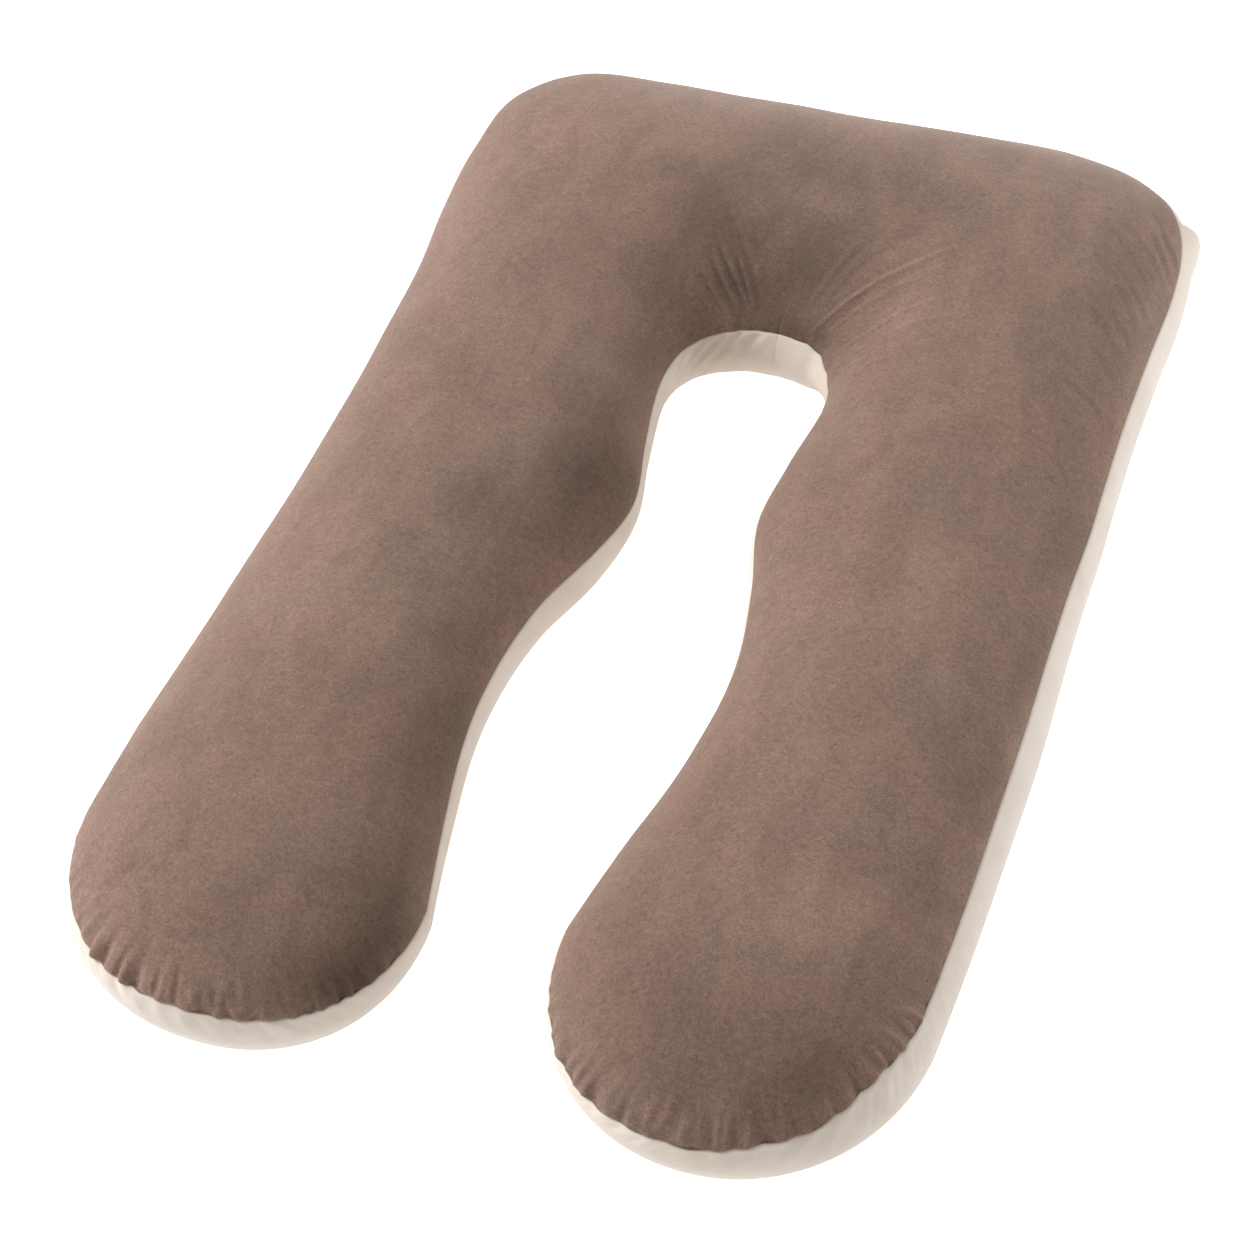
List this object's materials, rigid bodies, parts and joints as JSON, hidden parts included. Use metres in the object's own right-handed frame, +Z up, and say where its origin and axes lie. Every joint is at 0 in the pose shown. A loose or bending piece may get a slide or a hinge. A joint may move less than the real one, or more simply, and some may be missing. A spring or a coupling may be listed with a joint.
{
  "type": "pregnancy pillow",
  "caption": "U-shaped full-body pregnancy pillow, filled, with a brown velour top, a cream jersey underside, a gathered side seam and round leg ends.",
  "frame": {"origin": "on the surface that the pillow lies on, under the middle of its bounding box", "axes": "+Y from the leg ends to the head, +X to the right seen from above with the head away, +Z up out of the velour side"},
  "size_m": [0.8214, 1.3962, 0.1781],
  "materials": {
    "velour": "short-pile velour, matt with a soft sheen",
    "jersey": "fine smooth jersey, matt"
  },
  "bodies": {
    "root": {"velour_left": "velour", "velour_right": "velour", "jersey_left": "jersey", "jersey_right": "jersey"}
  },
  "joints": []
}
